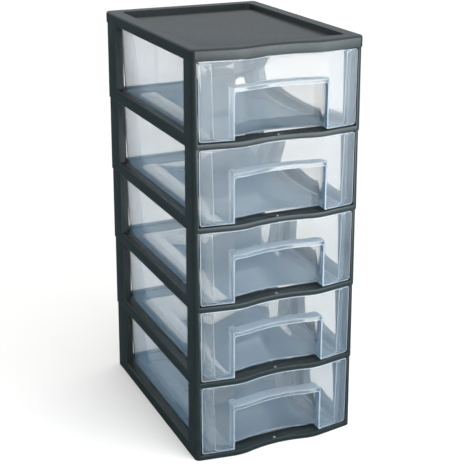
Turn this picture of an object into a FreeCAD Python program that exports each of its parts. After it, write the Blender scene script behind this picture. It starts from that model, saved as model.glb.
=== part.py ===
"""Plastic drawer tower: five stacking frame levels, a top cover with a tray, and five clear drawers.

Every piece is drawn in plan as closed outlines and raised or cut between two heights. The frame levels
and the drawers share one S-shaped front line. Lengths are in millimetres, +Z is up, the drawers open
towards -Y, and the origin is the middle of the footprint, on the floor.
"""
import FreeCAD, Part
import math
import os
import re

import Sketcher

# Driving dimensions: name, value, what it measures
SIZES = [
    ("tower_width", 280.0, "width over the skirts"),
    ("tower_depth", 390.0, "depth from the front peaks to the back"),
    ("level_pitch", 128.5, "height of one stacking level"),
    ("level_count", 5, "number of levels, one drawer each"),
    ("corner_radius", 8.0, "upright corners of the frame"),
    ("frame_wall", 2.4, "wall of the frame mouldings"),
    ("frame_draft", 1.4, "each side leans in by this from the skirt to the top of a level"),
    ("cut_overrun", 5.0, "how far a cut runs past the face that it opens"),
    ("fit_clearance", 0.3, "play of a spigot in its socket"),
    ("wave_depth", 8.2, "from the front peaks back to the middle of the wave"),
    ("wave_peak_offset", 67.0, "from the middle to either peak of the wave"),
    ("wave_trough_share", 0.72, "part of the wave's two radii together that its hollow middle takes"),
    ("wave_flank_angle", 8.8, "degrees that the front falls back outside the peaks"),
    ("shelf_height", 8.0, "top of the front rail and of the ledges that carry a drawer"),
    ("side_rail_height", 19.0, "height of the side rails"),
    ("rear_rail_height", 14.0, "height of the rear rail"),
    ("rear_rail_depth", 10.0, "thickness of the rear rail, front to back"),
    ("front_rail_depth", 32.0, "from the peaks to the back edge of the front rail"),
    ("ledge_width", 26.0, "ledge under a drawer, inward from the rails"),
    ("shelf_corner_radius", 20.0, "corners of the opening in a shelf"),
    ("side_rail_width", 14.0, "side rails, from the skirt to the bay that a drawer runs in"),
    ("front_post_width", 8.5, "front posts, seen from the front"),
    ("front_post_depth", 43.0, "from the peaks to the window side of the front posts"),
    ("rear_post_depth", 47.0, "from the back to the window side of the rear posts"),
    ("rear_flange_width", 19.0, "rear posts seen from behind"),
    ("spigot_height", 12.0, "spigots on the posts that enter the level above"),
    ("spigot_length", 22.0, "spigots, front to back"),
    ("nub_radius", 2.0, "stop nub on the front rail"),
    ("nub_height", 1.6, "stop nub on the front rail"),
    ("nub_setback", 14.0, "from the peaks to the middle of the stop nub"),
    ("cover_height", 18.0, "top cover"),
    ("cover_edge_radius", 4.0, "rounding of the cover's top edge"),
    ("tray_depth", 10.0, "tray sunk in the cover"),
    ("tray_side_rim", 22.0, "rim beside the tray"),
    ("tray_front_rim", 27.0, "rim in front of the tray, from the peaks"),
    ("tray_rear_rim", 24.0, "rim behind the tray"),
    ("tray_corner_radius", 10.0, "corners of the tray"),
    ("drawer_wall", 2.0, "walls and floor of a drawer"),
    ("panel_wall", 2.2, "thickness of a drawer's front panel"),
    ("panel_setback", 0.8, "front panel behind the front line of the frame"),
    ("panel_side_gap", 2.1, "gap between the front panel and a post"),
    ("panel_lower_gap", 2.6, "gap between the front rail and the panel above it"),
    ("panel_upper_gap", 1.2, "gap between the panel and the level above"),
    ("panel_corner_radius", 4.0, "corners of the front panel"),
    ("slide_clearance", 0.3, "play under the runners of a drawer"),
    ("runner_height", 2.5, "runners under a drawer's floor"),
    ("runner_width", 3.0, "runners under a drawer's floor"),
    ("runner_inset", 6.0, "from the lower edge of a drawer's side to its runner"),
    ("side_gap", 1.4, "play between a drawer's rim and the side rails"),
    ("back_gap", 1.5, "gap behind a closed drawer"),
    ("rim_gap", 4.0, "gap between a drawer's rim and the level above"),
    ("drawer_draft", 3.0, "each side of a drawer leans in by this from rim to floor"),
    ("drawer_front_radius", 14.0, "front corners of a drawer's box"),
    ("drawer_rear_radius", 28.0, "rear corners of a drawer's box"),
    ("pull_width", 153.0, "finger pull, inside"),
    ("pull_depth", 22.0, "finger pull, from the panel's face to its back wall"),
    ("pull_mouth_top", 82.0, "upper edge of the pull's mouth over the foot of the level"),
    ("pull_lip", 5.0, "lip that hangs in front of the pull's ceiling"),
    ("lug_width", 16.0, "stop lug under a drawer's floor, which meets the nub when the drawer is out"),
    ("lug_thickness", 4.0, "stop lug, front to back"),
    ("lug_inset", 55.0, "from the back of a drawer's floor to the lug"),
]

doc = FreeCAD.newDocument("drawer_tower")


def make_sheet():
    """Fills the spreadsheet of driving dimensions."""
    sheet = doc.addObject("Spreadsheet::Sheet", "Sizes")
    for row, (name, value, note) in enumerate(SIZES, start=1):
        sheet.set(f"A{row}", name)
        sheet.set(f"B{row}", str(value))
        sheet.set(f"C{row}", note)
        sheet.setAlias(f"B{row}", name)
    doc.recompute()
    return sheet


sheet = make_sheet()
NAME_PATTERN = re.compile(r"\b(" + "|".join(name for name, _, _ in SIZES) + r")\b")


def bound(text):
    """The same formula with each size read from the spreadsheet."""
    return NAME_PATTERN.sub(r"Sizes.\1", text)


def value_of(text):
    """What a formula of sizes comes to now."""
    result = sheet.evalExpression(bound(text))
    return float(getattr(result, "Value", result))


# Places that several pieces share, as formulas of the sizes
FRONT = "(-tower_depth / 2)"
BACK = "(tower_depth / 2)"
SKIN = "(frame_wall + frame_draft)"
HALF_WIDTH = "(tower_width / 2)"
HALF_BAY = "(tower_width / 2 - side_rail_width)"
HALF_OPENING = "(tower_width / 2 - front_post_width)"
WINDOW_FRONT = f"({FRONT} + front_post_depth)"
WINDOW_BACK = f"({BACK} - rear_post_depth)"
FRONT_POST_BACK = f"({WINDOW_FRONT} - frame_wall)"
REAR_POST_FRONT = f"({WINDOW_BACK} + frame_wall)"
REAR_RAIL_FRONT = f"({BACK} - rear_rail_depth)"
POST_INNER = f"({HALF_BAY} + frame_wall)"
POST_OUTER = f"({HALF_WIDTH} - {SKIN})"
BELOW = "(-cut_overrun)"
ABOVE = "(level_pitch + cut_overrun)"
NUB_PLACE = f"({FRONT} + nub_setback)"

# The S-shaped front line: one hollow arc in the middle, a round peak each side, then straight flanks
RADIUS_SUM = "((wave_peak_offset ^ 2 + wave_depth ^ 2) / (2 * wave_depth))"
WAVE_SLOPE = "(2 * atan(wave_depth / wave_peak_offset))"


def trough_radius(inset):
    """Radius of the hollow middle of the front line, moved back by inset."""
    return f"({RADIUS_SUM} * wave_trough_share + {inset})"


def peak_radius(inset):
    """Radius of the two peaks of the front line, moved back by inset."""
    return f"({RADIUS_SUM} * (1 - wave_trough_share) - {inset})"


def turning_point(inset):
    """Where the hollow middle turns into the right-hand peak."""
    radius = trough_radius(inset)
    depth = f"{FRONT} + wave_depth + {inset} - {radius} * (1 - cos({WAVE_SLOPE}))"
    return f"{radius} * sin({WAVE_SLOPE})", depth


def flank_start(inset):
    """Where the right-hand peak ends in the straight flank."""
    radius = peak_radius(inset)
    across = f"wave_peak_offset + {radius} * sin(wave_flank_angle)"
    return across, f"{FRONT} + {inset} + {radius} * (1 - cos(wave_flank_angle))"


def flank_depth(inset, across):
    """Depth of the straight flank at a distance from the middle."""
    start, depth = flank_start(inset)
    return f"({depth} + ({across} - ({start})) * tan(wave_flank_angle))"


def peak_depth(inset, across):
    """Depth of the right-hand peak at a distance from the middle."""
    radius = peak_radius(inset)
    return f"({FRONT} + {inset} + {radius} - sqrt({radius} ^ 2 - ({across} - wave_peak_offset) ^ 2))"


def trough_depth(inset, across):
    """Depth of the hollow middle at a distance from the middle."""
    radius = trough_radius(inset)
    return f"({FRONT} + {inset} + wave_depth - {radius} + sqrt({radius} ^ 2 - ({across}) ^ 2))"


def wave_points(inset):
    """The front line from the middle to the start of the flank, as (across, depth, arc to the next)."""
    return [(*turning_point(inset), peak_radius(inset)), (*flank_start(inset), None)]


def line_to(inset, reach):
    """The bends of the front line inside a side at reach, and its end there, in the form of wave_points."""
    bends = [point for point in wave_points(inset) if value_of(point[0]) < value_of(reach)]
    depth_there = (trough_depth, peak_depth, flank_depth)[len(bends)]
    return bends + [(reach, depth_there(inset, reach), None)]


def rounded_flank_corner(inset, reach, radius):
    """The rounded corner between the flank and a side at reach."""
    run = f"({radius} * tan((90 - wave_flank_angle) / 2))"
    sharp = flank_depth(inset, reach)
    start = (f"{reach} - {run} * cos(wave_flank_angle)", f"{sharp} - {run} * sin(wave_flank_angle)", radius)
    return [start, (reach, f"{sharp} + {run}", None)]


def rounded_back_corner(reach, back, radius):
    """The rounded corner between a side at reach and a straight back."""
    return [(reach, f"{back} - {radius}", radius), (f"{reach} - {radius}", back, None)]


class Outline:
    """A closed outline, drawn on the right and repeated on the left of the middle plane.

    Each point is (across, depth, arc), where arc is the radius of the arc to the next point, with a
    minus for a hollow one, or None for a straight line. The points run anticlockwise.
    """

    def __init__(self, points, front_arc=None, back_arc=None, paired=False):
        self.points = points
        self.front_arc = front_arc
        self.back_arc = back_arc
        self.paired = paired


def body_outline(inset, reach, back, front_radius, back_radius):
    """Outline of a frame level, cover or drawer: front line, sides and a straight back."""
    points = wave_points(inset) + rounded_flank_corner(inset, reach, front_radius)
    points += rounded_back_corner(reach, back, back_radius)
    return Outline(points, front_arc=f"-{trough_radius(inset)}")


def band_outline(near, far, reach):
    """Outline of a wall that follows the front line, between two insets."""
    far_line = line_to(far, reach)
    arcs = [arc and f"-{arc}" for _, _, arc in reversed(far_line[:-1])] + [None]
    back = [(across, depth, arc) for (across, depth, _), arc in zip(reversed(far_line), arcs)]
    points = line_to(near, reach) + back
    return Outline(points, front_arc=f"-{trough_radius(near)}", back_arc=trough_radius(far))


def box_outline(reach, front, back):
    """A rectangle across the middle plane."""
    return Outline([(reach, front, None), (reach, back, None)])


def rounded_box_outline(reach, front, back, radius):
    """A rectangle across the middle plane with round corners."""
    points = [(f"{reach} - {radius}", front, radius), (reach, f"{front} + {radius}", None)]
    return Outline(points + rounded_back_corner(reach, back, radius))


def side_box_outline(inner, outer, front, back):
    """A pair of rectangles, one on each side of the middle plane."""
    points = [(inner, front, None), (outer, front, None), (outer, back, None), (inner, back, None)]
    return Outline(points, paired=True)


def edge_geometry(start, end, radius):
    """A line, or the arc of a signed radius, from start to end, and whether it is stored backwards."""
    if radius is None:
        return Part.LineSegment(start, end), False
    chord = end - start
    side = FreeCAD.Vector(-chord.y, chord.x, 0).normalize() * math.copysign(1, radius)
    centre = (start + end) / 2 + side * math.sqrt(radius ** 2 - (chord.Length / 2) ** 2)
    first, last = (start, end) if radius > 0 else (end, start)
    angles = [math.atan2(point.y - centre.y, point.x - centre.x) for point in (first, last)]
    circle = Part.Circle(centre, FreeCAD.Vector(0, 0, 1), abs(radius))
    return Part.ArcOfCircle(circle, *angles), radius < 0


class Drawing:
    """A sketch whose points and radii are bound to the sizes."""

    def __init__(self, body, name, outlines, height):
        self.sketch = body.newObject("Sketcher::SketchObject", name)
        plane = next(item for item in body.Origin.OriginFeatures if item.Role == "XY_Plane")
        self.sketch.AttachmentSupport = [(plane, "")]
        self.sketch.MapMode = "FlatFace"
        self.sketch.setExpression(".AttachmentOffset.Base.z", bound(height))
        for outline in outlines:
            self.draw(outline)

    def bind(self, kind, where, text):
        """Adds one dimension and ties it to its formula."""
        index = self.sketch.addConstraint(Sketcher.Constraint(kind, *where, value_of(text)))
        self.sketch.setExpression(f"Constraints[{index}]", bound(text))

    def draw_edges(self, points, arcs):
        """Adds a closed chain of edges and returns where each of its points is held."""
        heads = []
        tails = []
        for index, (start, arc) in enumerate(zip(points, arcs)):
            end = points[(index + 1) % len(points)]
            radius = None if arc is None else value_of(arc)
            geometry, backwards = edge_geometry(start, end, radius)
            edge = self.sketch.addGeometry(geometry, False)
            heads.append((edge, 2 if backwards else 1))
            tails.append((edge, 1 if backwards else 2))
        for index, tail in enumerate(tails):
            head = heads[(index + 1) % len(heads)]
            self.sketch.addConstraint(Sketcher.Constraint("Coincident", *tail, *head))
        return heads

    def draw(self, outline):
        """Draws one outline, with its left side held as the mirror of its right side."""
        places = [(value_of(across), value_of(depth)) for across, depth, _ in outline.points]
        right = [FreeCAD.Vector(*place, 0) for place in places]
        left = [FreeCAD.Vector(-point.x, point.y, 0) for point in reversed(right)]
        arcs = [arc for _, _, arc in outline.points]
        mirrored = list(reversed(arcs[:-1]))
        count = len(right)
        if outline.paired:
            heads = self.draw_edges(right, arcs)
            others = self.draw_edges(left, mirrored + [arcs[-1]])
        else:
            across_middle = [outline.back_arc, *mirrored, outline.front_arc]
            heads = self.draw_edges(right + left, arcs[:-1] + across_middle)
            others = heads[count:]
        for index, (across, depth, _) in enumerate(outline.points):
            self.bind("DistanceX", heads[index], across)
            self.bind("DistanceY", heads[index], depth)
            mirror = Sketcher.Constraint("Symmetric", *heads[index], *others[count - 1 - index], -2)
            self.sketch.addConstraint(mirror)
        for index, arc in enumerate(arcs[:-1]):
            if arc is not None:
                self.bind("Radius", heads[index][:1], arc.lstrip("-"))
                twin = others[count - 2 - index][0]
                self.sketch.addConstraint(Sketcher.Constraint("Equal", heads[index][0], twin))
        for arc, head in ((outline.front_arc, heads[-1]), (outline.back_arc, heads[count - 1])):
            if arc is not None:
                self.bind("Radius", head[:1], arc.lstrip("-"))


def prism(body, kind, name, outlines, low, high):
    """Raises or cuts outlines between two heights."""
    feature = body.newObject(kind, name)
    feature.Profile = Drawing(body, f"{name}_outline", outlines, low).sketch
    feature.setExpression("Length", bound(f"{high} - {low}"))
    return feature


def add(body, name, outlines, low, high):
    """Adds material above the outlines, from low to high."""
    return prism(body, "PartDesign::Pad", name, outlines, low, high)


def cut(body, name, outlines, low, high):
    """Cuts away what stands over the outlines, from low to high."""
    prism(body, "PartDesign::Pocket", name, outlines, low, high).Reversed = True


def loft(body, kind, name, lower, upper, low, high):
    """Adds or cuts a straight-sided shape whose outline changes evenly from low to high."""
    feature = body.newObject(kind, name)
    feature.Profile = Drawing(body, f"{name}_lower", [lower], low).sketch
    feature.Sections = [Drawing(body, f"{name}_upper", [upper], high).sketch]
    feature.Ruled = True


def round_edges(body, name, radius, chosen):
    """Rounds the edges that a test picks on the body as it is so far."""
    doc.recompute()
    base = body.Tip
    edges = [f"Edge{index}" for index, edge in enumerate(base.Shape.Edges, start=1) if chosen(edge)]
    feature = body.newObject("PartDesign::Fillet", name)
    feature.Base = (base, edges)
    feature.setExpression("Radius", bound(radius))


def lies_at(edge, height):
    """Whether the whole edge lies at one height."""
    return all(abs(vertex.Z - height) < Part.Precision.confusion() for vertex in edge.Vertexes)


def footprint():
    """Outline of the tower on the floor."""
    return body_outline("0", HALF_WIDTH, BACK, "corner_radius", "corner_radius")


def new_body(label):
    """An empty body that carries the name of its piece."""
    body = doc.addObject("PartDesign::Body", label)
    body.Label = label
    return body


def make_frame_level(label):
    """One level of the frame: a shelf ring with four hollow posts standing on it."""
    body = new_body(label)
    radius = "(corner_radius - frame_draft)"
    reach, back = f"({HALF_WIDTH} - frame_draft)", f"({BACK} - frame_draft)"
    upper = body_outline("frame_draft", reach, back, radius, radius)
    loft(body, "PartDesign::AdditiveLoft", "shell", footprint(), upper, "0", "level_pitch")
    cut_drawer_bay(body)
    cut_posts(body)
    cut_rails(body)
    add_spigots(body)
    nub = body.newObject("PartDesign::AdditiveCylinder", "stop_nub")
    nub.setExpression("Radius", bound("nub_radius"))
    nub.setExpression("Height", bound("nub_height + frame_wall / 2"))
    nub.setExpression(".Placement.Base.y", bound(NUB_PLACE))
    nub.setExpression(".Placement.Base.z", bound("shelf_height - frame_wall / 2"))
    return body


def cut_drawer_bay(body):
    """Opens the bay that a drawer slides in, the front for its panel and the back between the posts."""
    opening = box_outline(HALF_OPENING, f"{FRONT} - cut_overrun", FRONT_POST_BACK)
    cut(body, "front_opening", [opening], "shelf_height", ABOVE)
    bay = box_outline(HALF_BAY, f"{FRONT_POST_BACK} - cut_overrun", REAR_RAIL_FRONT)
    cut(body, "bay", [bay], "shelf_height", ABOVE)
    inside_back = f"{BACK} - {SKIN}"
    behind = box_outline(HALF_BAY, f"{REAR_RAIL_FRONT} - cut_overrun", inside_back)
    cut(body, "bay_over_rear_rail", [behind], "rear_rail_height", ABOVE)
    reach = f"{HALF_WIDTH} - rear_flange_width"
    rear = box_outline(reach, f"{inside_back} - cut_overrun", f"{BACK} + cut_overrun")
    cut(body, "rear_opening", [rear], "rear_rail_height", ABOVE)


def cut_posts(body):
    """Hollows the posts, open below to take spigots and closed on top by a cap, and opens the windows."""
    front = rounded_flank_corner(SKIN, POST_OUTER, f"(corner_radius - {SKIN})")
    front = [(POST_INNER, flank_depth(SKIN, POST_INNER), None)] + front
    front += [(POST_OUTER, FRONT_POST_BACK, None), (POST_INNER, FRONT_POST_BACK, None)]
    rear = side_box_outline(POST_INNER, POST_OUTER, REAR_POST_FRONT, f"{BACK} - {SKIN}")
    cap = "(level_pitch - frame_wall)"
    cut(body, "post_hollows", [Outline(front, paired=True), rear], BELOW, cap)
    mouth = side_box_outline(HALF_BAY, POST_INNER, REAR_POST_FRONT, f"{BACK} - {SKIN}")
    cut(body, "rear_post_mouths", [mouth], "shelf_height", cap)
    inner, outer = f"{HALF_BAY} - cut_overrun", f"{HALF_WIDTH} + cut_overrun"
    window = side_box_outline(inner, outer, WINDOW_FRONT, WINDOW_BACK)
    cut(body, "side_windows", [window], "side_rail_height", ABOVE)


def cut_rails(body):
    """Hollows the rails and the shelf from below, and opens the middle of the shelf."""
    side = side_box_outline(POST_INNER, POST_OUTER, WINDOW_FRONT, WINDOW_BACK)
    cut(body, "side_rail_channels", [side], BELOW, "(side_rail_height - frame_wall)")
    rear = box_outline(HALF_BAY, f"{REAR_RAIL_FRONT} + frame_wall", f"{BACK} - {SKIN}")
    cut(body, "rear_rail_channel", [rear], BELOW, "(rear_rail_height - frame_wall)")
    sides = [(HALF_BAY, flank_depth(SKIN, HALF_BAY), None), (HALF_BAY, REAR_RAIL_FRONT, None)]
    under = Outline(wave_points(SKIN) + sides, front_arc=f"-{trough_radius(SKIN)}")
    shelf_under = "(shelf_height - frame_wall)"
    cut(body, "shelf_underside", [under], BELOW, shelf_under)
    front, back = f"{FRONT} + front_rail_depth", f"{REAR_RAIL_FRONT} - ledge_width"
    hole = rounded_box_outline(f"{HALF_BAY} - ledge_width", front, back, "shelf_corner_radius")
    cut(body, "shelf_opening", [hole], f"({shelf_under} - cut_overrun)", "(shelf_height + cut_overrun)")


def add_spigots(body):
    """Stands a spigot on the cap of each post, for the sockets of the level above."""
    outer = f"{POST_OUTER} - fit_clearance"
    back = f"{FRONT_POST_BACK} - fit_clearance"
    front = side_box_outline(HALF_OPENING, outer, f"{back} - spigot_length", back)
    start = f"{REAR_POST_FRONT} + fit_clearance"
    rear = side_box_outline(f"{POST_INNER} + fit_clearance", outer, start, f"{start} + spigot_length")
    add(body, "spigots", [front, rear], "(level_pitch - frame_wall / 2)", "(level_pitch + spigot_height)")


def make_top_cover():
    """The cover: a hollow lid with a sunk tray, that takes the spigots of the top level."""
    body = new_body("top_cover")
    add(body, "shell", [footprint()], "0", "cover_height")
    top = value_of("cover_height")
    round_edges(body, "top_edge", "cover_edge_radius", lambda edge: lies_at(edge, top))
    reach, front = f"{HALF_WIDTH} - tray_side_rim", f"{FRONT} + tray_front_rim"
    back = f"{BACK} - tray_rear_rim"
    tray = rounded_box_outline(reach, front, back, "tray_corner_radius")
    cut(body, "tray", [tray], "(cover_height - tray_depth)", "(cover_height + cut_overrun)")
    radius = f"(corner_radius - {SKIN})"
    inner = body_outline(SKIN, POST_OUTER, f"({BACK} - {SKIN})", radius, radius)
    reach, front, back = f"{reach} + frame_wall", f"{front} - frame_wall", f"{back} + frame_wall"
    island = rounded_box_outline(reach, front, back, "(tray_corner_radius + frame_wall)")
    cut(body, "rim_underside", [inner, island], BELOW, "(cover_height - frame_wall)")
    cut(body, "tray_underside", [inner], BELOW, "(cover_height - tray_depth - frame_wall)")
    body.setExpression(".Placement.Base.z", bound("level_pitch * level_count"))


# Heights and widths of a drawer over the foot of its level
RUNNER_FOOT = "(shelf_height + slide_clearance)"
FLOOR_UNDER = f"({RUNNER_FOOT} + runner_height)"
RIM = "(level_pitch - rim_gap)"
RIM_REACH = f"({HALF_BAY} - side_gap)"
FLOOR_REACH = f"({RIM_REACH} - drawer_draft)"
RIM_BACK = f"({REAR_RAIL_FRONT} - back_gap)"
FLOOR_BACK = f"({RIM_BACK} - drawer_draft)"
PANEL_BACK = "(panel_setback + panel_wall)"
PANEL_MIDDLE = "(panel_setback + panel_wall / 2)"


def make_drawer(label):
    """One drawer: a clear box with a wavy front panel and a finger pull let into it."""
    body = new_body(label)
    add_front_panel(body)
    add_box(body)
    add_finger_pull(body)
    add_runners(body)
    return body


def add_front_panel(body):
    """The front panel, a plate that follows the wave and reaches past the box on every side."""
    reach = f"({HALF_OPENING} - panel_side_gap)"
    low, high = "(shelf_height + panel_lower_gap)", "(level_pitch - panel_upper_gap)"
    add(body, "front_panel", [band_outline("panel_setback", PANEL_BACK, reach)], low, high)
    side, heights = value_of(reach), [value_of(low), value_of(high)]

    def is_panel_corner(edge):
        """Whether the edge runs through the panel at one of its four corners."""
        at_side = all(abs(abs(vertex.X) - side) < Part.Precision.confusion() for vertex in edge.Vertexes)
        return at_side and any(lies_at(edge, height) for height in heights)

    round_edges(body, "panel_corners", "panel_corner_radius", is_panel_corner)


def add_box(body):
    """The box behind the panel, whose walls lean in towards its floor."""
    radii = ("drawer_front_radius", "drawer_rear_radius")
    lower = body_outline(PANEL_MIDDLE, FLOOR_REACH, FLOOR_BACK, *radii)
    upper = body_outline(PANEL_MIDDLE, RIM_REACH, RIM_BACK, *radii)
    loft(body, "PartDesign::AdditiveLoft", "box", lower, upper, FLOOR_UNDER, RIM)
    inner = [f"({radius} - drawer_wall)" for radius in radii]
    floor = [f"({place} - drawer_wall)" for place in (FLOOR_REACH, FLOOR_BACK)]
    rim = [f"({place} - drawer_wall)" for place in (RIM_REACH, RIM_BACK)]
    lower = body_outline(PANEL_BACK, *floor, *inner)
    upper = body_outline(PANEL_BACK, *rim, *inner)
    loft(body, "PartDesign::SubtractiveLoft", "inside", lower, upper, f"({FLOOR_UNDER} + drawer_wall)", RIM)


def add_finger_pull(body):
    """A pocket let into the front for the fingers, open below, with a lip to pull on."""
    half, depth = "(pull_width / 2)", "(panel_setback + pull_depth)"
    ceiling = "(pull_mouth_top + pull_lip)"
    shell = band_outline(PANEL_MIDDLE, f"({depth} + drawer_wall)", f"({half} + drawer_wall)")
    add(body, "pull_shell", [shell], FLOOR_UNDER, f"({ceiling} + drawer_wall)")
    pocket = band_outline(PANEL_BACK, depth, half)
    below = f"({FLOOR_UNDER} - cut_overrun)"
    cut(body, "pull_pocket", [pocket], below, ceiling)
    mouth = box_outline(half, f"{FRONT} - cut_overrun", f"{FRONT} + wave_depth + {PANEL_BACK}")
    cut(body, "pull_mouth", [mouth], below, "pull_mouth_top")


def add_runners(body):
    """Two runners that slide on the ledges, and the lug that meets the stop nub."""
    outer = f"{FLOOR_REACH} - runner_inset"
    front, back = f"{FRONT} + {PANEL_BACK} + pull_depth", f"{FLOOR_BACK} - drawer_rear_radius"
    rails = side_box_outline(f"({outer} - runner_width)", outer, front, back)
    lug_back = f"({FLOOR_BACK} - lug_inset)"
    lug = box_outline("lug_width / 2", f"{lug_back} - lug_thickness", lug_back)
    add(body, "runners", [rails, lug], RUNNER_FOOT, f"({FLOOR_UNDER} + drawer_wall / 2)")


def stand_on_level(body, level):
    """Lifts a piece to the level that it belongs to, counted from 0 at the floor."""
    body.setExpression(".Placement.Base.z", bound(f"level_pitch * {level}"))


def make_levels(name, build):
    """One moulding for the lowest level and the same moulding again for each level above it."""
    first = build(f"{name}_1")
    for level in range(1, int(value_of("level_count"))):
        body = new_body(f"{name}_{level + 1}")
        again = body.newObject("PartDesign::FeatureBase", "same_moulding")
        again.BaseFeature = first
        body.Tip = again
        stand_on_level(body, level)


# The kinds of feature that make a body smaller
CUTTING_KINDS = ("PartDesign::Pocket", "PartDesign::SubtractiveLoft", "PartDesign::Fillet")


def check(body):
    """Stops unless every feature of a body is sound and has changed the shape as it should."""
    volume = 0.0
    for item in body.Group:
        if "Invalid" in item.State or "Error" in item.State:
            raise RuntimeError(f"{body.Label}: {item.Name} failed")
        if item.isDerivedFrom("PartDesign::Feature"):
            removes = item.TypeId in CUTTING_KINDS
            if (item.Shape.Volume < volume) != removes:
                raise RuntimeError(f"{body.Label}: {item.Name} changed nothing")
            volume = item.Shape.Volume
    if body.Shape.isNull() or not body.Shape.isValid() or len(body.Shape.Solids) != 1:
        raise RuntimeError(f"{body.Label} is not one sound solid")


def main():
    """Builds every piece, checks it and writes it to its own file."""
    make_levels("frame_level", make_frame_level)
    make_levels("drawer", make_drawer)
    make_top_cover()
    doc.recompute()
    os.makedirs("parts", exist_ok=True)
    bodies = [item for item in doc.Objects if item.TypeId == "PartDesign::Body"]
    for body in bodies:
        check(body)
    for body in bodies:
        body.Shape.exportStep(f"parts/{body.Label}.step")
        print(body.Label, round(body.Shape.Volume), body.Shape.BoundBox)


main()
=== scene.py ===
"""Looks of a plastic drawer tower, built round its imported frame.

The frame levels and the cover keep their moulded shapes and get softened edges. Each drawer is built
here as clear thin-walled mouldings: a wavy front panel, a tub with round corners, a finger pull, and
the runners with the stop lug. Lengths are in metres, +Z is up, and the drawers open towards -Y.
"""
from __future__ import annotations

import logging
import math
from dataclasses import dataclass
from enum import Enum, IntEnum

import bmesh
import bpy
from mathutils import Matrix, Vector

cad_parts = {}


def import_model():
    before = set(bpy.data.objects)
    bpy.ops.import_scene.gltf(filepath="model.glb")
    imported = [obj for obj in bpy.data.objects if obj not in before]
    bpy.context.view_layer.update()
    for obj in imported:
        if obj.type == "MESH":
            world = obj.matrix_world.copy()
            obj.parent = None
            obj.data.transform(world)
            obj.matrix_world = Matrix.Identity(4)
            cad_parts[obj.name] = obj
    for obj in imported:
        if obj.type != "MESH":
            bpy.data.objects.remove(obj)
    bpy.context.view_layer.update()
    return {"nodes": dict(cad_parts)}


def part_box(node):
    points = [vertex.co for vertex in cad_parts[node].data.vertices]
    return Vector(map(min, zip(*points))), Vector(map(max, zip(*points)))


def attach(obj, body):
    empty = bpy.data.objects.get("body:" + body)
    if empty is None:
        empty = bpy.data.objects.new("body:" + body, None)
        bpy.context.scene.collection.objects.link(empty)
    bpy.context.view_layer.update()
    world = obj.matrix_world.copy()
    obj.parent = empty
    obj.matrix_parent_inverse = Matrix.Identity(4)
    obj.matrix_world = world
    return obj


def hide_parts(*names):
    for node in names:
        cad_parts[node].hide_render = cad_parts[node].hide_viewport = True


LOG = logging.getLogger("drawer_tower")

MM = 0.001
LEVEL_COUNT = 5
TOLERANCE = 0.01 * MM
PLANE_TOLERANCE = 1e-7
FACING = 0.9
ROUND_PROFILE = 0.5
RIM_SEGMENTS = 2
RIM_ANGLE = math.radians(60)
BLEND_ANGLE = math.radians(40)
HIGHLIGHT_AND_WEAR_MARK = "edge_highlight_and_wear"
MIX_SOCKETS = (0, 6, 7)
MIX_RESULT = 2

Color = tuple[float, float, float, float]
Materials = list[bpy.types.Material]


class Slot(Enum):
    """The record's material slots."""

    FRAME = "frame_plastic"
    CLEAR = "clear_plastic"


class Corner(Enum):
    """What a bevel rounds: edges, or single corner points of a flat outline."""

    EDGES = "EDGES"
    POINTS = "VERTICES"


class Finish(IntEnum):
    """Places in a piece's list of materials."""

    PLAIN = 0
    # Painted highlight: the lighter finish of drawer edges and of the frame's stop nubs.
    PAINTED_HIGHLIGHT = 1
    # Painted light: the milkier finish of the pull's ceiling.
    CEILING = 2


# Mesh tools

def soften(bm: bmesh.types.BMesh, geometry: list, radius: float, segments: int,
           corner: Corner = Corner.EDGES) -> list:
    """Rounds edges or outline corners.

    Args:
        bm: The mesh.
        geometry: Edges or vertices to round.
        radius: How far the rounding reaches from each edge or corner.
        segments: How many steps the rounding has.
        corner: Whether edges or points are rounded.

    Returns:
        The faces that the rounding made.
    """
    made = bmesh.ops.bevel(bm, geom=geometry, offset=radius, offset_type="OFFSET", segments=segments,
                           profile=ROUND_PROFILE, affect=corner.value, clamp_overlap=False, material=-1)
    return made["faces"]


def sharp_edges(bm: bmesh.types.BMesh, angle: float) -> list:
    """The edges between two faces that meet at more than an angle.

    Args:
        bm: The mesh.
        angle: The least angle between the faces, in radians.

    Returns:
        The edges.
    """
    return [edge for edge in bm.edges if edge.is_manifold and edge.calc_face_angle(0.0) > angle]


def cut_across(bm: bmesh.types.BMesh, reach: float, step: float) -> None:
    """Cuts a mesh by upright planes, so that it can bend along X.

    Args:
        bm: The mesh.
        reach: How far from the middle the outermost planes stand.
        step: About how far apart the planes are.
    """
    count = max(1, round(2 * reach / step))
    for index in range(count + 1):
        across = -reach + 2 * reach * index / count
        everything = bm.verts[:] + bm.edges[:] + bm.faces[:]
        bmesh.ops.bisect_plane(bm, geom=everything, dist=PLANE_TOLERANCE,
                               plane_co=(across, 0, 0), plane_no=(1, 0, 0))


def add_block(bm: bmesh.types.BMesh, low: Vector, high: Vector) -> None:
    """Adds a box between two corners.

    Args:
        bm: The mesh.
        low: The box's lowest corner.
        high: Its highest corner.
    """
    verts = bmesh.ops.create_cube(bm, size=1.0)["verts"]
    bmesh.ops.scale(bm, vec=high - low, verts=verts)
    bmesh.ops.translate(bm, vec=(low + high) / 2, verts=verts)


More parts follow.
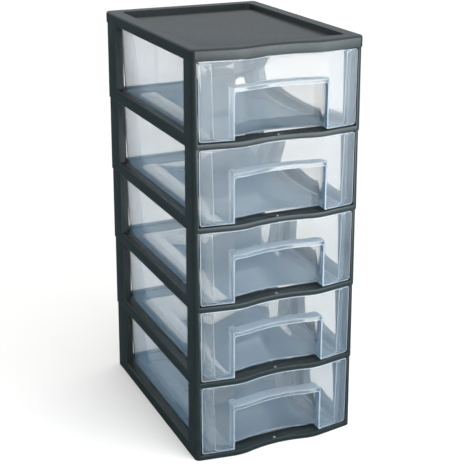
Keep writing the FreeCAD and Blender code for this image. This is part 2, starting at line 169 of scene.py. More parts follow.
def finish_piece(bm: bmesh.types.BMesh, name: str, body: str,
                 materials: Materials) -> bpy.types.Object:
    """Turns a mesh into a dressed piece that rides on a body.

    Args:
        bm: The mesh, which is freed.
        name: The piece's name.
        body: The body that it moves with.
        materials: Its finishes in the order of their places, of which it may have the first alone.

    Returns:
        The piece.
    """
    bmesh.ops.recalc_face_normals(bm, faces=bm.faces[:])
    for face in bm.faces:
        face.smooth = True
        face.material_index = min(face.material_index, len(materials) - 1)
    for edge in bm.edges:
        edge.smooth = edge.calc_face_angle(math.pi) < BLEND_ANGLE
    mesh = bpy.data.meshes.new(name)
    bm.to_mesh(mesh)
    bm.free()
    piece = bpy.data.objects.new(name, mesh)
    bpy.context.scene.collection.objects.link(piece)
    for material in materials:
        piece.data.materials.append(material)
    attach(piece, body)
    LOG.info("%s: %d faces, rides on %s", name, len(mesh.polygons), body)
    return piece


def mark_highlight_and_wear(bm: bmesh.types.BMesh, faces: list, finish: Finish = Finish.PAINTED_HIGHLIGHT) -> None:
    """Marks softened edges and other faces to be lighter, partly by edge wear and partly as a painted
    highlight, and chooses their finish.

    Args:
        bm: The mesh.
        faces: The faces to mark.
        finish: The place of their finish in the piece's list of materials.
    """
    layers = bm.loops.layers.float
    mark = layers.get(HIGHLIGHT_AND_WEAR_MARK) or layers.new(HIGHLIGHT_AND_WEAR_MARK)
    for face in faces:
        face.material_index = finish
        for loop in face.loops:
            loop[mark] = 1.0


def thicken(bm: bmesh.types.BMesh, wall: float, edge_radius: float) -> None:
    """Gives a sheet its wall on the inner side, with softened rims marked for a painted highlight.

    Args:
        bm: The sheet.
        wall: Thickness of the wall.
        edge_radius: Rounding of the wall's free edges.
    """
    bmesh.ops.recalc_face_normals(bm, faces=bm.faces[:])
    bmesh.ops.solidify(bm, geom=bm.faces[:], thickness=wall)
    # The rims get the painted-highlight finish.
    mark_highlight_and_wear(bm, soften(bm, sharp_edges(bm, RIM_ANGLE), edge_radius, RIM_SEGMENTS))


# Shader tools

class NodeSheet:
    """A node tree with short calls to add and join nodes."""

    def __init__(self, tree: bpy.types.NodeTree) -> None:
        """Takes over a node tree and empties it.

        Args:
            tree: The node tree.
        """
        self.tree = tree
        self.tree.nodes.clear()

    def add(self, kind: str, **settings: object) -> bpy.types.Node:
        """Adds a node.

        Args:
            kind: The node's full type name.
            **settings: Its properties.

        Returns:
            The node.
        """
        node = self.tree.nodes.new(kind)
        for key, value in settings.items():
            setattr(node, key, value)
        return node

    def feed(self, node: bpy.types.Node, sources: dict[object, object]) -> bpy.types.Node:
        """Sets or links a node's inputs.

        Args:
            node: The node.
            sources: A value or an output socket for each input's name or number.

        Returns:
            The node.
        """
        for key, source in sources.items():
            if isinstance(source, bpy.types.NodeSocket):
                self.tree.links.new(source, node.inputs[key])
            else:
                node.inputs[key].default_value = source
        return node

    def close(self, shader: bpy.types.Node, kind: str = "ShaderNodeOutputMaterial") -> None:
        """Links a shader to the end of the tree.

        Args:
            shader: The shader's node.
            kind: The full type name of the tree's last node.
        """
        self.feed(self.add(kind), {"Surface": shader.outputs[0]})

    def parts(self, vector: bpy.types.NodeSocket) -> bpy.types.bpy_prop_collection:
        """A vector's parts along X, Y and Z.

        Args:
            vector: The vector.

        Returns:
            The parts by the names of their axes.
        """
        return self.feed(self.add("ShaderNodeSeparateXYZ"), {0: vector}).outputs

    def noise(self, place: bpy.types.NodeSocket, scale: object, detail: float) -> bpy.types.NodeSocket:
        """A noise pattern's value at a place.

        Args:
            place: Where the pattern is read.
            scale: How small the pattern is.
            detail: How many finer layers it has.

        Returns:
            The value.
        """
        node = self.add("ShaderNodeTexNoise")
        return self.feed(node, {"Vector": place, "Scale": scale, "Detail": detail}).outputs["Fac"]

    def stretch(self, place: bpy.types.NodeSocket, turn: Vector, scale: Vector) -> bpy.types.NodeSocket:
        """A place turned by angles and then stretched along its axes.

        Args:
            place: The place.
            turn: The angles round X, Y and Z, in radians.
            scale: The stretch along each axis.

        Returns:
            The new place.
        """
        node = self.add("ShaderNodeMapping")
        return self.feed(node, {"Vector": place, "Rotation": turn, "Scale": scale}).outputs["Vector"]

    def ramp(self, value: object, low: object, high: object,
             to_low: object = 0.0, to_high: object = 1.0) -> bpy.types.NodeSocket:
        """A value's range stretched to another range, and held inside it.

        Args:
            value: The value.
            low: Where its range starts.
            high: Where its range ends.
            to_low: What the start becomes.
            to_high: What the end becomes.

        Returns:
            The stretched value.
        """
        names = ("Value", "From Min", "From Max", "To Min", "To Max")
        node = self.add("ShaderNodeMapRange")
        return self.feed(node, dict(zip(names, (value, low, high, to_low, to_high)))).outputs["Result"]

    def calculate(self, operation: str, first: object, second: object = 0.0) -> bpy.types.NodeSocket:
        """One sum on two values or sockets.

        Args:
            operation: The kind of sum.
            first: The first value.
            second: The second value, where the sum needs one.

        Returns:
            The result.
        """
        node = self.add("ShaderNodeMath", operation=operation)
        return self.feed(node, {0: first, 1: second}).outputs[0]

    def mix(self, share: object, first: object, second: object) -> bpy.types.NodeSocket:
        """One colour laid over another by a share.

        Args:
            share: How much of the second colour shows.
            first: The colour below.
            second: The colour above.

        Returns:
            The mixed colour.
        """
        node = self.add("ShaderNodeMix", data_type="RGBA")
        return self.feed(node, dict(zip(MIX_SOCKETS, (share, first, second)))).outputs[MIX_RESULT]


def start_material(name: str) -> tuple[bpy.types.Material, NodeSheet]:
    """Makes a material with an empty node tree.

    Args:
        name: The material's name.

    Returns:
        The material and its nodes.
    """
    made = bpy.data.materials.new(name)
    made.use_nodes = True
    return made, NodeSheet(made.node_tree)


class EffectGroup:
    """A shader node group that several materials share."""

    def __init__(self, name: str, inputs: dict[str, float], outputs: tuple[str, ...]) -> None:
        """Makes the group with its sockets.

        Args:
            name: The group's name.
            inputs: Each input's name and usual value.
            outputs: The names of the values that it puts out.
        """
        self.tree = bpy.data.node_groups.new(name, "ShaderNodeTree")
        self.sheet = NodeSheet(self.tree)
        for label, value in inputs.items():
            socket = self.tree.interface.new_socket(label, in_out="INPUT", socket_type="NodeSocketFloat")
            socket.default_value = value
        for label in outputs:
            self.tree.interface.new_socket(label, in_out="OUTPUT", socket_type="NodeSocketFloat")
        self.source = self.sheet.add("NodeGroupInput").outputs
        self.result = self.sheet.add("NodeGroupOutput").inputs
        self.place = self.sheet.add("ShaderNodeTexCoord").outputs["Object"]

    def put_out(self, results: dict[str, bpy.types.NodeSocket]) -> None:
        """Links each result to the output of its name.

        Args:
            results: The values by the names of their outputs.
        """
        for label, socket in results.items():
            self.tree.links.new(socket, self.result[label])

    def use(self, sheet: NodeSheet, values: dict[str, float]) -> bpy.types.bpy_prop_collection:
        """Places the group in a material.

        Args:
            sheet: The material's nodes.
            values: The inputs that differ from their usual values.

        Returns:
            The placed group's outputs.
        """
        node = sheet.add("ShaderNodeGroup", node_tree=self.tree)
        return sheet.feed(node, values).outputs


class Effects:
    """The effects that the plastics share, each built once."""

    def __init__(self) -> None:
        """Builds the groups."""
        self.grain = self.make_grain()
        self.flow = self.make_flow()
        self.highlight_and_wear = self.make_highlight_and_wear()
        self.dust = self.make_dust()
        self.scratches = self.make_scratches()

    @staticmethod
    def make_grain() -> EffectGroup:
        """Fine spark-eroded texture of a mould, as a height and as a change of gloss."""
        group = EffectGroup("mould_grain", {"Scale": 1400.0, "Gloss Change": 0.1}, ("Height", "Gloss"))
        sheet = group.sheet
        coarser, coarse_share, noise_middle = 9.0, 0.5, 0.5
        fine = sheet.noise(group.place, group.source["Scale"], detail=4.0)
        coarse_scale = sheet.calculate("DIVIDE", group.source["Scale"], coarser)
        coarse = sheet.noise(group.place, coarse_scale, detail=2.0)
        height = sheet.calculate("ADD", fine, sheet.calculate("MULTIPLY", coarse, coarse_share))
        spread = sheet.calculate("SUBTRACT", coarse, noise_middle)
        gloss = sheet.calculate("MULTIPLY", spread, group.source["Gloss Change"])
        group.put_out({"Height": height, "Gloss": gloss})
        return group

    @staticmethod
    def make_flow() -> EffectGroup:
        """Long faint streaks that the melt leaves as it fills a mould."""
        group = EffectGroup("flow_streaks", {"Scale": 9.0}, ("Mask",))
        sheet = group.sheet
        slant = Vector((0.0, 0.35, 0.2))
        length = Vector((1.0, 0.6, 4.0))
        streaks = sheet.noise(sheet.stretch(group.place, slant, length), group.source["Scale"], detail=5.0)
        group.put_out({"Mask": sheet.ramp(streaks, low=0.35, high=0.68)})
        return group

    @staticmethod
    def make_highlight_and_wear() -> EffectGroup:
        """Lighter edges, partly edge wear and partly a painted highlight, from the mark that each marked
        face carries, broken up by noise.
        """
        group = EffectGroup("edge_highlight_and_wear", {"Amount": 0.5, "Scale": 60.0}, ("Mask",))
        sheet = group.sheet
        edge = sheet.add("ShaderNodeAttribute", attribute_name=HIGHLIGHT_AND_WEAR_MARK).outputs["Fac"]
        noise = sheet.noise(group.place, group.source["Scale"], detail=4.0)
        patches = sheet.ramp(noise, low=0.3, high=0.7, to_low=0.35, to_high=1.0)
        highlight_and_wear_mask = sheet.calculate("MULTIPLY", edge, patches)
        group.put_out({"Mask": sheet.calculate("MULTIPLY", highlight_and_wear_mask, group.source["Amount"])})
        return group

    @staticmethod
    def make_dust() -> EffectGroup:
        """A thin veil of dust where a surface faces up."""
        group = EffectGroup("settled_dust", {"Amount": 0.15, "Scale": 25.0}, ("Mask",))
        sheet = group.sheet
        normal = sheet.add("ShaderNodeNewGeometry").outputs["Normal"]
        upward = sheet.ramp(sheet.parts(normal)["Z"], low=0.6, high=1.0)
        noise = sheet.noise(group.place, group.source["Scale"], detail=6.0)
        patches = sheet.ramp(noise, low=0.3, high=0.75, to_low=0.2, to_high=1.0)
        veil = sheet.calculate("MULTIPLY", upward, patches)
        group.put_out({"Mask": sheet.calculate("MULTIPLY", veil, group.source["Amount"])})
        return group

    @staticmethod
    def make_scratches() -> EffectGroup:
        """Hairline scuffs from years of use, in three directions."""
        group = EffectGroup("hairline_scuffs", {"Amount": 0.3, "Scale": 40.0}, ("Mask",))
        sheet = group.sheet
        turns, patch_scale = (0.3, 1.2, 2.3), 7.0
        thinness = Vector((1.0, 14.0, 14.0))
        total = None
        for turn in turns:
            place = sheet.stretch(group.place, Vector((turn, turn, 0.0)), thinness)
            line = sheet.ramp(sheet.noise(place, group.source["Scale"], detail=2.0), low=0.66, high=0.72)
            total = line if total is None else sheet.calculate("MAXIMUM", total, line)
        where = sheet.ramp(sheet.noise(group.place, patch_scale, detail=2.0), low=0.45, high=0.65)
        total = sheet.calculate("MULTIPLY", total, where)
        group.put_out({"Mask": sheet.calculate("MULTIPLY", total, group.source["Amount"])})
        return group


@dataclass(frozen=True)
class SatinPlastic:
    """Dark moulded plastic with a fine grain, lighter on marked edges by wear and a painted highlight."""

    name: str
    color: Color
    streak_color: Color
    highlight_and_wear_color: Color
    dust_color: Color
    roughness: float
    specular: float
    highlight_and_wear: float
    dust: float
    gloss_change: float = 0.16
    dust_dullness: float = 0.5
    bump: float = 0.25
    bump_depth: float = 0.05 * MM
    refraction: float = 1.5

    def material(self, effects: Effects) -> bpy.types.Material:
        """Builds the finish.

        Args:
            effects: The shared effects.

        Returns:
            The material.
        """
        made, sheet = start_material(self.name)
        grain = effects.grain.use(sheet, {"Gloss Change": self.gloss_change})
        streaks = effects.flow.use(sheet, {})["Mask"]
        # Marked edges turn lighter: partly edge wear, partly a painted highlight along them.
        highlight_and_wear_mask = effects.highlight_and_wear.use(sheet, {"Amount": self.highlight_and_wear})["Mask"]
        dust = effects.dust.use(sheet, {"Amount": self.dust})["Mask"]
        color = sheet.mix(streaks, self.color, self.streak_color)
        color = sheet.mix(highlight_and_wear_mask, color, self.highlight_and_wear_color)
        color = sheet.mix(dust, color, self.dust_color)
        gloss = sheet.calculate("ADD", grain["Gloss"], self.roughness)
        gloss = sheet.calculate("ADD", gloss, sheet.calculate("MULTIPLY", dust, self.dust_dullness))
        bump = sheet.add("ShaderNodeBump")
        sheet.feed(bump, {"Height": grain["Height"], "Strength": self.bump, "Distance": self.bump_depth})
        shader = sheet.add("ShaderNodeBsdfPrincipled")
        sheet.feed(shader, {"Base Color": color, "Roughness": gloss, "Normal": bump.outputs[0]})
        shader.inputs["IOR"].default_value = self.refraction
        shader.inputs["Specular IOR Level"].default_value = self.specular
        sheet.close(shader)
        return made


@dataclass(frozen=True)
class ClearPlastic:
    """Clear moulded plastic with a milky haze, flow streaks and scuffs."""

    name: str
    tint: Color
    streak_tint: Color
    scuff_color: Color
    roughness: float
    scuff_roughness: float
    scuffs: float
    transmission: float
    veil: float
    veil_tint: Color = (0.35, 0.68, 1.0, 1.0)
    veil_roughness: float = 0.6
    streak_scale: float = 14.0
    bump: float = 0.04
    bump_depth: float = 0.1 * MM
    refraction: float = 1.35

    def material(self, effects: Effects) -> bpy.types.Material:
        """Builds the finish.

        Args:
            effects: The shared effects.

        Returns:
            The material.
        """
        made, sheet = start_material(self.name)
        scuffs = effects.scratches.use(sheet, {"Amount": self.scuffs})["Mask"]
        streaks = effects.flow.use(sheet, {"Scale": self.streak_scale})["Mask"]
        color = sheet.mix(streaks, self.tint, self.streak_tint)
        color = sheet.mix(scuffs, color, self.scuff_color)
        rough = sheet.ramp(scuffs, 0.0, 1.0, self.roughness, self.scuff_roughness)
        bump = sheet.add("ShaderNodeBump")
        sheet.feed(bump, {"Height": streaks, "Strength": self.bump, "Distance": self.bump_depth})
        shader = sheet.add("ShaderNodeBsdfPrincipled")
        sheet.feed(shader, {"Base Color": color, "Roughness": rough, "Normal": bump.outputs[0]})
        shader.inputs["IOR"].default_value = self.refraction
        shader.inputs["Transmission Weight"].default_value = self.transmission
        shader.inputs["Sheen Weight"].default_value = self.veil
        shader.inputs["Sheen Roughness"].default_value = self.veil_roughness
        shader.inputs["Sheen Tint"].default_value = self.veil_tint
        sheet.close(shader)
        return made


# The frame's plastic. Its lighter edge colour is partly wear and partly a painted highlight.
ANTHRACITE = SatinPlastic(
    name="anthracite_plastic",
    color=(0.011, 0.0175, 0.017, 1.0),
    streak_color=(0.015, 0.0225, 0.022, 1.0),
    highlight_and_wear_color=(0.065, 0.085, 0.086, 1.0),
    dust_color=(0.20, 0.225, 0.22, 1.0),
    roughness=0.36,
    specular=0.5,
    highlight_and_wear=0.4,
    dust=0.04,
)
# Painted highlight: the stop nubs are coloured far lighter than the frame, standing in for light catching
# their tops.
NUB_PAINTED_HIGHLIGHT = SatinPlastic(
    name="nub_painted_highlight_plastic",
    color=(0.13, 0.15, 0.155, 1.0),
    streak_color=(0.145, 0.165, 0.17, 1.0),
    highlight_and_wear_color=(0.26, 0.29, 0.295, 1.0),
    dust_color=(0.20, 0.225, 0.22, 1.0),
    roughness=0.3,
    specular=0.5,
    highlight_and_wear=0.8,
    dust=0.04,
)
CLEAR = ClearPlastic(
    name="clear_drawer_plastic",
    tint=(0.922, 0.907, 0.884, 1.0),
    streak_tint=(0.908, 0.895, 0.874, 1.0),
    scuff_color=(0.97, 0.98, 1.0, 1.0),
    roughness=0.02,
    scuff_roughness=0.6,
    scuffs=0.15,
    transmission=0.965,
    veil=0.45,
)
# Painted light: the pull's ceiling is made milkier and lighter, standing in for light from above scattered
# in it.
CLEAR_CEILING_PAINTED_LIGHT = ClearPlastic(
    name="clear_pull_ceiling_painted_light",
    tint=(0.94, 0.96, 1.0, 1.0),
    streak_tint=(0.92, 0.94, 0.98, 1.0),
    scuff_color=(1.0, 1.0, 1.0, 1.0),
    roughness=0.3,
    scuff_roughness=0.7,
    scuffs=0.3,
    transmission=0.6,
    veil=0.4,
)
# Painted highlight: drawer edges get a whiter, less clear finish that stands in for light caught along the
# edges.
CLEAR_EDGE_HIGHLIGHT = ClearPlastic(
    name="clear_drawer_edge_painted_highlight",
    tint=(0.90, 0.95, 1.0, 1.0),
    streak_tint=(0.86, 0.92, 0.98, 1.0),
    scuff_color=(1.0, 1.0, 1.0, 1.0),
    roughness=0.35,
    scuff_roughness=0.7,
    scuffs=0.4,
    transmission=0.45,
    veil=0.3,
)


@dataclass
class FrontLine:
    """The S-shaped line that the fronts share: a hollow middle, a round peak each side, straight flanks."""

    wave_depth: float = 8.2 * MM
    peak_offset: float = 67.0 * MM
    trough_share: float = 0.72
    flank_angle: float = math.radians(8.8)

    def fall(self, across: float) -> float:
        """How far the line lies behind its peaks.

        Args:
            across: Distance from the middle plane.

        Returns:
            The depth behind the peaks, in metres.
        """
        across = abs(across)
        radius_sum = (self.peak_offset ** 2 + self.wave_depth ** 2) / (2 * self.wave_depth)
        trough = radius_sum * self.trough_share
        peak = radius_sum - trough
        slope = 2 * math.atan(self.wave_depth / self.peak_offset)
        flank_start = self.peak_offset + peak * math.sin(self.flank_angle)
        if across < trough * math.sin(slope):
            return self.wave_depth - trough + math.sqrt(trough ** 2 - across ** 2)
        if across < flank_start:
            return peak - math.sqrt(peak ** 2 - (across - self.peak_offset) ** 2)
        start = peak * (1 - math.cos(self.flank_angle))
        return start + (across - flank_start) * math.tan(self.flank_angle)

    def bend(self, bm: bmesh.types.BMesh, back_limit: float) -> None:
        """Bends what was built in front of a limit from straight to the line.

        Args:
            bm: The mesh, whose straight front stands where the peaks are.
            back_limit: Only vertices in front of this depth move.
        """
        for vert in bm.verts:
            if vert.co.y < back_limit:
                vert.co.y += self.fall(vert.co.x)


@dataclass
class FrameMouldings:
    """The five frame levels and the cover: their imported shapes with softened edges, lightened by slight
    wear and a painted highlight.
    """

    edge_radius: float = 0.6 * MM
    edge_segments: int = 2
    sharp_angle: float = math.radians(40)
    flat_angle: float = math.radians(1)
    merge_distance: float = 1e-6
    shelf_height: float = 8.0 * MM
    nub_setback: float = 14.0 * MM
    nub_reach: float = 2.5 * MM

    def build(self, nodes: dict[str, bpy.types.Object], materials: Materials) -> None:
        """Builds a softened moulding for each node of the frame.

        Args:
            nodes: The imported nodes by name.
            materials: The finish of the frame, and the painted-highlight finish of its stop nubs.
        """
        for name in sorted(name for name in nodes if not name.startswith("drawer")):
            own = materials if name.startswith("frame") else materials[:1]
            self.build_moulding(nodes[name], name, own)

    def build_moulding(self, node: bpy.types.Object, name: str, materials: Materials) -> None:
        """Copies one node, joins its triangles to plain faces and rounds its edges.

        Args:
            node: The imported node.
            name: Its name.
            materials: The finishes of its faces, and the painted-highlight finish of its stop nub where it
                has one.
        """
        bm = bmesh.new()
        bm.from_mesh(node.data)
        bmesh.ops.remove_doubles(bm, verts=bm.verts[:], dist=self.merge_distance)
        bmesh.ops.dissolve_limit(bm, angle_limit=self.flat_angle, verts=bm.verts[:], edges=bm.edges[:])
        rounded = soften(bm, sharp_edges(bm, self.sharp_angle), self.edge_radius, self.edge_segments)
        # The softened edges carry the mark that lightens them: partly edge wear, partly a painted
        # highlight.
        mark_highlight_and_wear(bm, rounded, Finish.PLAIN)
        # Painted highlight: the nub's faces get the lighter nub finish.
        mark_highlight_and_wear(bm, self.nub_faces(bm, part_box(name)[0]))
        piece = finish_piece(bm, f"{name}_moulding", "frame", materials)
        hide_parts(name)

    def nub_faces(self, bm: bmesh.types.BMesh, low: Vector) -> list:
        """The faces of the stop nub on a level's front rail, which the drawer's lug rubs; they get a
        painted highlight.

        Args:
            bm: The level's mesh.
            low: The lowest corner of its box.

        Returns:
            The faces, or none on the cover.
        """
        nub = Vector((0.0, low.y + self.nub_setback, low.z + self.shelf_height))
        reach = self.nub_reach
        places = [(face, face.calc_center_median() - nub) for face in bm.faces]
        return [face for face, away in places if away.xy.length < reach and 0 < away.z < reach]


@dataclass
class ClearDrawer:
    """One clear drawer, built straight and then bent to the front line."""

    level: int
    line: FrontLine
    wall: float = 2.0 * MM
    panel_wall: float = 2.2 * MM
    edge_radius: float = 0.6 * MM
    panel_rise: float = 2.3 * MM
    panel_corner: float = 4.0 * MM
    bend_step: float = 4.0 * MM
    rim_inset: float = 4.8 * MM
    rim_drop: float = 2.8 * MM
    rim_band: float = 3.5 * MM
    rim_step: float = 0.5 * MM
    draft: float = 3.0 * MM
    floor_rise: float = 2.5 * MM
    floor_radius: float = 5.0 * MM
    front_radius: float = 14.0 * MM
    rear_radius: float = 28.0 * MM
    pull_half: float = 76.5 * MM
    pull_depth: float = 22.0 * MM
    pull_radius: float = 6.0 * MM
    pull_top_radius: float = 2.5 * MM
    mouth_rise: float = 73.7 * MM
    mouth_corner: float = 5.0 * MM
    lip: float = 5.0 * MM
    runner_inset: float = 6.0 * MM
    runner_width: float = 3.0 * MM
    lug_width: float = 16.0 * MM
    lug_thickness: float = 4.0 * MM
    lug_inset: float = 55.0 * MM
    corner_angle: float = math.radians(50)
    panel_corner_segments: int = 6
    panel_edge_segments: int = 3
    pull_segments: int = 5
    pull_top_segments: int = 3
    front_segments: int = 8
    rear_segments: int = 12
    floor_segments: int = 5
    runner_edge_segments: int = 2

    def __post_init__(self) -> None:
        """Reads the drawer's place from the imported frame."""
        self.body = f"drawer_{self.level}"
        self.low, self.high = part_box(self.body)
        self.front = self.low.y
        self.foot = self.low.z
        self.floor = self.foot + self.floor_rise
        self.rim = self.high.z - self.rim_drop
        self.rim_reach = self.high.x - self.rim_inset
        self.floor_reach = self.rim_reach - self.draft
        self.floor_back = self.high.y - self.draft
        self.mouth_top = self.foot + self.mouth_rise
        self.ceiling = self.mouth_top + self.lip
        self.inside = self.front + self.panel_wall / 2

    def build(self, materials: Materials) -> None:
        """Builds the drawer's pieces.

        Args:
            materials: The finish of the drawer's faces, the painted-highlight finish of its softened edges
                and the painted-light finish of its pull's ceiling.
        """
        shared = materials[:2]
        for piece in (self.build_panel(shared), self.build_pull(materials), self.build_tub(shared)):
            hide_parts(self.body)
        self.build_runners(shared)

    def build_panel(self, materials: Materials) -> bpy.types.Object:
        """The wavy front panel, with the mouth of the finger pull cut out below.

        Args:
            materials: The finishes of faces, and of edges, which carry a painted highlight.

        Returns:
            The panel.
        """
        bm = bmesh.new()
        foot, top, reach = self.foot + self.panel_rise, self.high.z, self.high.x
        places = [(-reach, foot), (-self.pull_half, foot), (-self.pull_half, self.mouth_top)]
        places += [(self.pull_half, self.mouth_top), (self.pull_half, foot), (reach, foot)]
        places += [(reach, top), (-reach, top)]
        corners = [bm.verts.new((across, self.front, height)) for across, height in places]
        bm.faces.new(corners)
        outer = [corners[index] for index in (0, 5, 6, 7)]
        mouth = [corners[index] for index in (2, 3)]
        soften(bm, outer, self.panel_corner, self.panel_corner_segments, Corner.POINTS)
        soften(bm, mouth, self.mouth_corner, self.panel_corner_segments, Corner.POINTS)
        self.give_depth(bm, self.panel_wall)
        edges = sharp_edges(bm, self.corner_angle)
        # The panel's edges get the painted-highlight finish.
        mark_highlight_and_wear(bm, soften(bm, edges, self.edge_radius, self.panel_edge_segments))
        cut_across(bm, reach - self.panel_corner, self.bend_step)
        self.line.bend(bm, self.high.y)
        return finish_piece(bm, f"{self.body}_panel", self.body, materials)

    @staticmethod
    def give_depth(bm: bmesh.types.BMesh, depth: float) -> None:
        """Turns a flat upright sheet into a plate that reaches backwards.

        Args:
            bm: The mesh.
            depth: The plate's thickness.
        """
        made = bmesh.ops.extrude_face_region(bm, geom=bm.faces[:], use_keep_orig=True)
        verts = [item for item in made["geom"] if isinstance(item, bmesh.types.BMVert)]
        bmesh.ops.translate(bm, vec=(0, depth, 0), verts=verts)

    def build_pull(self, materials: Materials) -> bpy.types.Object:
        """The pocket behind the mouth: two sides, a back and a ceiling, open to the front and below.

        Args:
            materials: The finishes of faces, of edges, with a painted highlight, and of the ceiling, with
                painted light.

        Returns:
            The pocket.
        """
        bm = bmesh.new()
        half = self.pull_half + self.wall
        back = self.front + self.pull_depth + self.wall
        low = Vector((-half, self.inside, self.floor))
        add_block(bm, low, Vector((half, back, self.ceiling + self.wall)))
        upright = [edge for edge in bm.edges if self.stands_at(edge, back)]
        soften(bm, upright, self.pull_radius, self.pull_segments)
        # Painted light: the upward-facing ceiling faces take the milkier finish, as if lit from above.
        for face in bm.faces:
            face.material_index = Finish.CEILING if face.normal.z > FACING else Finish.PLAIN
        open_faces = [face for face in bm.faces if face.normal.y < -FACING or face.normal.z < -FACING]
        bmesh.ops.delete(bm, geom=open_faces, context="FACES")
        soften(bm, sharp_edges(bm, self.corner_angle), self.pull_top_radius, self.pull_top_segments)
        cut_across(bm, half - self.pull_radius - self.edge_radius, self.bend_step)
        self.line.bend(bm, self.high.y)
        thicken(bm, self.wall, self.edge_radius)
        return finish_piece(bm, f"{self.body}_pull", self.body, materials)

    @staticmethod
    def stands_at(edge: bmesh.types.BMEdge, back: float) -> bool:
        """Whether an edge is upright and stands at a depth.

        Args:
            edge: The edge.
            back: The depth.

        Returns:
            True if it does.
        """
        first, second = (vert.co for vert in edge.verts)
        upright = abs(first.z - second.z) > MM and abs(first.x - second.x) < TOLERANCE
        return upright and abs(first.y - back) < TOLERANCE

    def build_tub(self, materials: Materials) -> bpy.types.Object:
        """The floor with its notch for the pull, and the walls that lean out towards a stepped rim.

        Args:
            materials: The finishes of faces, and of edges, which carry a painted highlight.

        Returns:
            The tub.
        """
        bm = bmesh.new()
        reach, back = self.floor_reach, self.floor_back
        notch, notch_back = self.pull_half + self.wall / 2, self.front + self.pull_depth + self.wall / 2
        places = [(-reach, self.inside), (-notch, self.inside), (-notch, notch_back), (notch, notch_back)]
        places += [(notch, self.inside), (reach, self.inside), (reach, back), (-reach, back)]
        corners = [bm.verts.new((across, depth, self.floor)) for across, depth in places]
        bm.faces.new(corners)
        front_corners, rear_corners = [corners[0], corners[5]], [corners[6], corners[7]]
        soften(bm, front_corners, self.front_radius, self.front_segments, Corner.POINTS)
        soften(bm, rear_corners, self.rear_radius, self.rear_segments, Corner.POINTS)
        base = [edge for edge in bm.edges if self.carries_wall(edge, notch_back)]
        step_height = self.rim - self.rim_band
        lean = self.draft - self.rim_step
        walls = self.raise_wall(bm, base, step_height - self.floor, lean)
        step = self.raise_wall(bm, walls, self.rim_step, self.rim_step)
        self.raise_wall(bm, step, self.rim_band - self.rim_step, 0.0)
        bmesh.ops.recalc_face_normals(bm, faces=bm.faces[:])
        soften(bm, [edge for edge in base if edge.is_valid], self.floor_radius, self.floor_segments)
        bmesh.ops.remove_doubles(bm, verts=bm.verts[:], dist=TOLERANCE)
        cut_across(bm, notch, self.bend_step)
        self.line.bend(bm, notch_back + self.wall)
        thicken(bm, self.wall, self.edge_radius)
        return finish_piece(bm, f"{self.body}_tub", self.body, materials)

    def carries_wall(self, edge: bmesh.types.BMEdge, notch_back: float) -> bool:
        """Whether a wall stands on an edge of the floor: not along the front, and not in the notch.

        Args:
            edge: The edge.
            notch_back: How far back the notch reaches.

        Returns:
            True if a wall does.
        """
        first, second = (vert.co for vert in edge.verts)
        behind = max(first.y, second.y) > notch_back + MM
        beside = min(abs(first.x), abs(second.x)) > self.floor_reach - self.front_radius - TOLERANCE
        along_front = max(abs(first.y - self.inside), abs(second.y - self.inside)) < TOLERANCE
        return (behind or beside) and not along_front

    def raise_wall(self, bm: bmesh.types.BMesh, edges: list, rise: float, lean: float) -> list:
        """Draws a wall up from a run of edges and leans it outwards.

        Args:
            bm: The mesh.
            edges: The edges that it stands on.
            rise: How far up it goes.
            lean: How far out its top goes, to the sides and to the back.

        Returns:
            The edges along its top.
        """
        made = bmesh.ops.extrude_edge_only(bm, edges=edges)["geom"]
        for vert in (item for item in made if isinstance(item, bmesh.types.BMVert)):
            if abs(vert.co.x) > self.floor_reach - self.rear_radius - TOLERANCE:
                vert.co.x += math.copysign(lean, vert.co.x)
            if vert.co.y > self.floor_back - self.rear_radius - TOLERANCE:
                vert.co.y += lean
            vert.co.z += rise
        return [item for item in made if isinstance(item, bmesh.types.BMEdge)]

    def build_runners(self, materials: Materials) -> bpy.types.Object:
        """The two runners and the stop lug under the floor.

        Args:
            materials: The finishes of faces, and of edges, which carry a painted highlight.

        Returns:
            The runners and the lug.
        """
        bm = bmesh.new()
        top = self.floor + self.wall / 2
        outer = self.floor_reach - self.runner_inset
        inner = outer - self.runner_width
        front = self.front + self.panel_wall + self.pull_depth
        rear = self.floor_back - self.rear_radius
        for side in (-1, 1):
            low, high = sorted((side * inner, side * outer))
            add_block(bm, Vector((low, front, self.foot)), Vector((high, rear, top)))
        lug_back = self.floor_back - self.lug_inset
        low = Vector((-self.lug_width / 2, lug_back - self.lug_thickness, self.foot))
        add_block(bm, low, Vector((self.lug_width / 2, lug_back, top)))
        edges = sharp_edges(bm, self.corner_angle)
        # The runners' edges get the painted-highlight finish.
        mark_highlight_and_wear(bm, soften(bm, edges, self.edge_radius, self.runner_edge_segments))
        return finish_piece(bm, f"{self.body}_runners", self.body, materials)


@dataclass
class Camera:
    """The photograph's viewpoint."""

    place: Vector = Vector((-0.7201, -1.5990, 0.9551))
    turn: float = math.radians(24.608)
    down: float = math.radians(19.486)
    lens: float = 84.59
    sensor: float = 36.0
    shift: float = -0.04
    nearest: float = 0.05
    farthest: float = 50.0

    def build(self) -> None:
        """Makes the camera and sets it as the scene's."""
        data = bpy.data.cameras.new("view")
        data.lens = self.lens
        data.sensor_width = self.sensor
        data.shift_y = self.shift
        data.clip_start, data.clip_end = self.nearest, self.farthest
        camera = bpy.data.objects.new("view", data)
        camera.location = self.place
        camera.rotation_euler = (math.pi / 2 - self.down, 0.0, -self.turn)
        bpy.context.scene.collection.objects.link(camera)
        bpy.context.scene.camera = camera


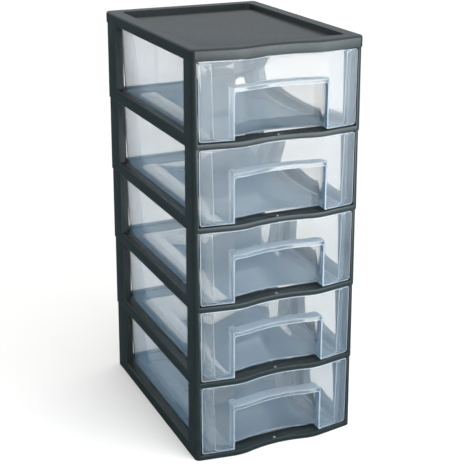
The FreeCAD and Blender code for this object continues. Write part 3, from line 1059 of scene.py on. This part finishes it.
@dataclass
class Studio:
    """A pale floor, painted dark and cool in glossy reflections, under a soft overhead glow that turns cool
    low down, with a lamp at the front right.
    """

    floor_size: float = 30.0
    floor_roughness: float = 0.9
    floor_specular: float = 0.1
    floor_color: Color = (0.98, 0.965, 0.945, 1.0)
    painted_reflection_color: Color = (0.09, 0.13, 0.15, 1.0)
    low_color: Color = (0.17, 0.24, 0.30, 1.0)
    high_color: Color = (1.52, 1.50, 1.48, 1.0)
    backdrop_color: Color = (1.0, 1.0, 1.0, 1.0)
    glow_strength: float = 1.0
    lamp_place: Vector = Vector((0.30, -0.90, 0.36))
    lamp_aim: Vector = Vector((0.0, -0.19, 0.36))
    lamp_width: float = 1.5
    lamp_height: float = 0.70
    lamp_power: float = 30.0
    lamp_color: tuple[float, float, float] = (0.88, 0.95, 1.0)
    lamp_middle: float = 0.5
    bright_reach: float = 0.3
    dim_reach: float = 0.5
    clear_walls: int = 24

    def build(self) -> None:
        """Makes the floor, the sky and the lamp, and lets light pass the many clear walls in a row."""
        self.build_floor()
        self.build_sky()
        self.build_lamp()
        scene = bpy.context.scene
        scene.view_settings.view_transform = "Standard"
        scene.cycles.max_bounces = self.clear_walls
        scene.cycles.transmission_bounces = self.clear_walls

    def build_floor(self) -> None:
        """Lays the floor plane, pale to the camera but painted dark and cool where glossy surfaces reflect
        it.
        """
        bm = bmesh.new()
        bmesh.ops.create_grid(bm, x_segments=1, y_segments=1, size=self.floor_size / 2)
        mesh = bpy.data.meshes.new("floor")
        bm.to_mesh(mesh)
        bm.free()
        floor = bpy.data.objects.new("floor", mesh)
        bpy.context.scene.collection.objects.link(floor)
        made, sheet = start_material("pale_floor")
        # Painted reflection: for glossy rays that are not transmitted, the floor turns dark and cool, so
        # the plastics show darker reflections.
        path = sheet.add("ShaderNodeLightPath").outputs
        painted_reflection = sheet.calculate("SUBTRACT", path["Is Glossy Ray"], path["Is Transmission Ray"])
        color = sheet.mix(sheet.ramp(painted_reflection, 0.0, 1.0), self.floor_color, self.painted_reflection_color)
        shader = sheet.feed(sheet.add("ShaderNodeBsdfPrincipled"), {"Base Color": color})
        shader.inputs["Roughness"].default_value = self.floor_roughness
        shader.inputs["Specular IOR Level"].default_value = self.floor_specular
        sheet.close(shader)
        mesh.materials.append(made)

    def build_sky(self) -> None:
        """Sets a surround that glows from above and looks plain white itself."""
        world = bpy.data.worlds.new("surround")
        world.use_nodes = True
        sheet = NodeSheet(world.node_tree)
        direction = sheet.add("ShaderNodeTexCoord").outputs["Generated"]
        upward = sheet.parts(direction)["Z"]
        glow = sheet.mix(sheet.ramp(upward, 0.0, 1.0), self.low_color, self.high_color)
        seen = sheet.add("ShaderNodeLightPath").outputs["Is Camera Ray"]
        color = sheet.mix(seen, glow, self.backdrop_color)
        shader = sheet.add("ShaderNodeBackground")
        sheet.feed(shader, {"Color": color, "Strength": self.glow_strength})
        sheet.close(shader, "ShaderNodeOutputWorld")
        bpy.context.scene.world = world

    def build_lamp(self) -> None:
        """Stands a wide soft lamp low at the front right, brighter upwards and fading to its sides."""
        data = bpy.data.lights.new("front_lamp", "AREA")
        data.shape = "RECTANGLE"
        data.size, data.size_y = self.lamp_width, self.lamp_height
        data.energy = self.lamp_power
        data.color = self.lamp_color
        data.use_nodes = True
        sheet = NodeSheet(data.node_tree)
        spot = sheet.parts(sheet.add("ShaderNodeNewGeometry").outputs["Parametric"])
        off_middle = sheet.calculate("ABSOLUTE", sheet.calculate("SUBTRACT", spot["X"], self.lamp_middle))
        fade = sheet.ramp(off_middle, self.dim_reach, self.bright_reach)
        glow = sheet.calculate("MULTIPLY", fade, spot["Y"])
        shader = sheet.feed(sheet.add("ShaderNodeEmission"), {"Strength": glow})
        sheet.close(shader, "ShaderNodeOutputLight")
        lamp = bpy.data.objects.new("front_lamp", data)
        lamp.location = self.lamp_place
        lamp.rotation_euler = (self.lamp_aim - self.lamp_place).to_track_quat("-Z", "Y").to_euler()
        lamp.visible_camera = False
        bpy.context.scene.collection.objects.link(lamp)


def main() -> None:
    """Loads the frame, builds the tower and sets it in the studio."""
    logging.basicConfig(level=logging.INFO, format="%(name)s: %(message)s")
    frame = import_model()
    effects = Effects()
    dark = [finish.material(effects) for finish in (ANTHRACITE, NUB_PAINTED_HIGHLIGHT)]
    FrameMouldings().build(frame["nodes"], dark)
    clear = [finish.material(effects) for finish in (CLEAR, CLEAR_EDGE_HIGHLIGHT, CLEAR_CEILING_PAINTED_LIGHT)]
    for level in range(1, LEVEL_COUNT + 1):
        ClearDrawer(level, FrontLine()).build(clear)
    Studio().build()
    Camera().build()


if __name__ == "__main__":
    main()
